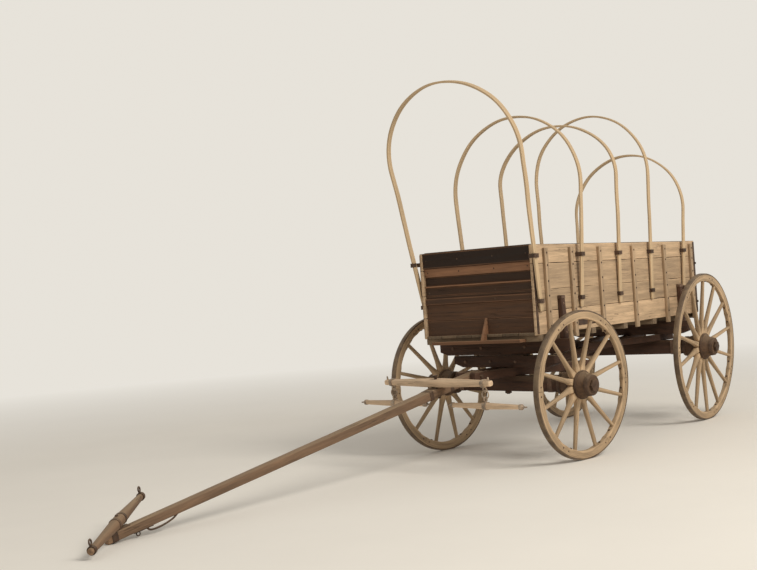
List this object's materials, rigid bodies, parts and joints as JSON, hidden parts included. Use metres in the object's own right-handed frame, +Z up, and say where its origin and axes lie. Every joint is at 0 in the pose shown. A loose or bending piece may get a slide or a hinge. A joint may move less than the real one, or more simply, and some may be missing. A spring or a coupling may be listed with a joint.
{
  "type": "covered wagon",
  "caption": "Plank wagon with bare bent-wood bows, dished spoked wheels, turning front gear, tongue, doubletree, singletrees and neck yoke.",
  "frame": {"origin": "on the ground under the middle of the whole bounding box", "axes": "+X forward along the box, +Y to the left side, +Z up"},
  "size_m": [6.8342, 1.8186, 2.9044],
  "materials": {
    "box_wood": "weathered dark paint on plank",
    "gear_wood": "worn red-brown paint on oak",
    "bow_wood": "bare planed hickory, bent to shape",
    "pale_wood": "bare worn hickory",
    "tongue_wood": "weathered ash",
    "wheel_wood": "dusty worn paint on oak",
    "wrought_iron": "forged, brown rust",
    "cast_iron": "greasy black iron",
    "tyre_iron": "road-worn iron tyre"
  },
  "bodies": {
    "wagon": {"floor": "box_wood", "floor_sills": "box_wood", "side_left": "box_wood", "side_right": "box_wood", "top_side_left": "box_wood", "top_side_right": "box_wood", "side_cleats": "box_wood", "front_board": "box_wood", "top_front_board": "box_wood", "footboard": "box_wood", "end_gate_guides": "box_wood", "bow_1": "bow_wood", "bow_2": "bow_wood", "bow_3": "bow_wood", "bow_4": "bow_wood", "bow_5": "bow_wood", "bow_staples": "wrought_iron", "front_bolster": "gear_wood", "bolster_stakes": "gear_wood", "king_bolt": "wrought_iron", "rear_axle": "gear_wood", "rear_arms": "cast_iron", "rear_bolster": "gear_wood", "reach": "gear_wood", "rear_hounds": "gear_wood"},
    "end_gate": {"end_gate": "box_wood"},
    "front_gear": {"front_axle": "gear_wood", "front_arms": "cast_iron", "sand_board": "gear_wood", "rub_plate_lower": "wrought_iron", "front_hounds": "gear_wood", "sway_bar": "gear_wood", "tongue_pin": "wrought_iron"},
    "tongue": {"tongue": "tongue_wood", "doubletree_pin": "wrought_iron", "yoke_pin": "wrought_iron"},
    "doubletree": {"doubletree": "pale_wood", "doubletree_hooks": "wrought_iron"},
    "singletree_left": {"singletree_left": "pale_wood", "singletree_irons_left": "wrought_iron"},
    "singletree_right": {"singletree_right": "pale_wood", "singletree_irons_right": "wrought_iron"},
    "neck_yoke": {"neck_yoke": "tongue_wood", "neck_yoke_irons": "wrought_iron"},
    "wheel_front_left": {"wheel_front_left_hub": "wheel_wood", "wheel_front_left_spokes": "wheel_wood", "wheel_front_left_felloes": "wheel_wood", "wheel_front_left_tyre": "tyre_iron"},
    "wheel_front_right": {"wheel_front_right_hub": "wheel_wood", "wheel_front_right_spokes": "wheel_wood", "wheel_front_right_felloes": "wheel_wood", "wheel_front_right_tyre": "tyre_iron"},
    "wheel_rear_left": {"wheel_rear_left_hub": "wheel_wood", "wheel_rear_left_spokes": "wheel_wood", "wheel_rear_left_felloes": "wheel_wood", "wheel_rear_left_tyre": "tyre_iron"},
    "wheel_rear_right": {"wheel_rear_right_hub": "wheel_wood", "wheel_rear_right_spokes": "wheel_wood", "wheel_rear_right_felloes": "wheel_wood", "wheel_rear_right_tyre": "tyre_iron"}
  },
  "joints": [
    {"name": "king_turn", "type": "hinge", "parent": "wagon", "child": "front_gear", "pos_m": [-0.51641, 0.05696, 0.785], "axis": [0, 0, 1], "range_deg": [-10.8, 29.2]},
    {"name": "tongue_lift", "type": "hinge", "parent": "front_gear", "child": "tongue", "pos_m": [-0.10181, -0.01019, 0.6585], "axis": [-0.1599, -0.9871, 0], "range_deg": [0, 55]},
    {"name": "doubletree_swing", "type": "hinge", "parent": "tongue", "child": "doubletree", "pos_m": [0.28368, -0.07262, 0.64962], "axis": [0.1889, -0.0306, 0.9815], "range_deg": [-12, 12]},
    {"name": "neck_yoke_turn", "type": "hinge", "parent": "tongue", "child": "neck_yoke", "pos_m": [2.99736, -0.51214, 0.1178], "axis": [0.1889, -0.0306, 0.9815], "continuous": true},
    {"name": "end_gate_lift", "type": "slide", "parent": "wagon", "child": "end_gate", "axis": [0, 0, 1], "range_m": [0, 0.6]},
    {"name": "singletree_left_swing", "type": "hinge", "parent": "doubletree", "child": "singletree_left", "pos_m": [0.35006, 0.39275, 0.60406], "axis": [-0.1599, -0.9871, 0], "range_deg": [-25, 80]},
    {"name": "singletree_right_swing", "type": "hinge", "parent": "doubletree", "child": "singletree_right", "pos_m": [0.19977, -0.53516, 0.60406], "axis": [-0.1599, -0.9871, 0], "range_deg": [-25, 80]},
    {"name": "wheel_front_left_roll", "type": "hinge", "parent": "front_gear", "child": "wheel_front_left", "pos_m": [-0.39921, 0.78053, 0.55866], "axis": [0.1598, 0.9865, -0.0349], "continuous": true},
    {"name": "wheel_front_right_roll", "type": "hinge", "parent": "front_gear", "child": "wheel_front_right", "pos_m": [-0.6336, -0.66661, 0.55866], "axis": [-0.1598, -0.9865, -0.0349], "continuous": true},
    {"name": "wheel_rear_left_roll", "type": "hinge", "parent": "wagon", "child": "wheel_rear_left", "pos_m": [-2.7564, 0.78996, 0.6596], "axis": [0, 0.9994, -0.0349], "continuous": true},
    {"name": "wheel_rear_right_roll", "type": "hinge", "parent": "wagon", "child": "wheel_rear_right", "pos_m": [-2.7564, -0.67604, 0.6596], "axis": [0, -0.9994, -0.0349], "continuous": true}
  ]
}
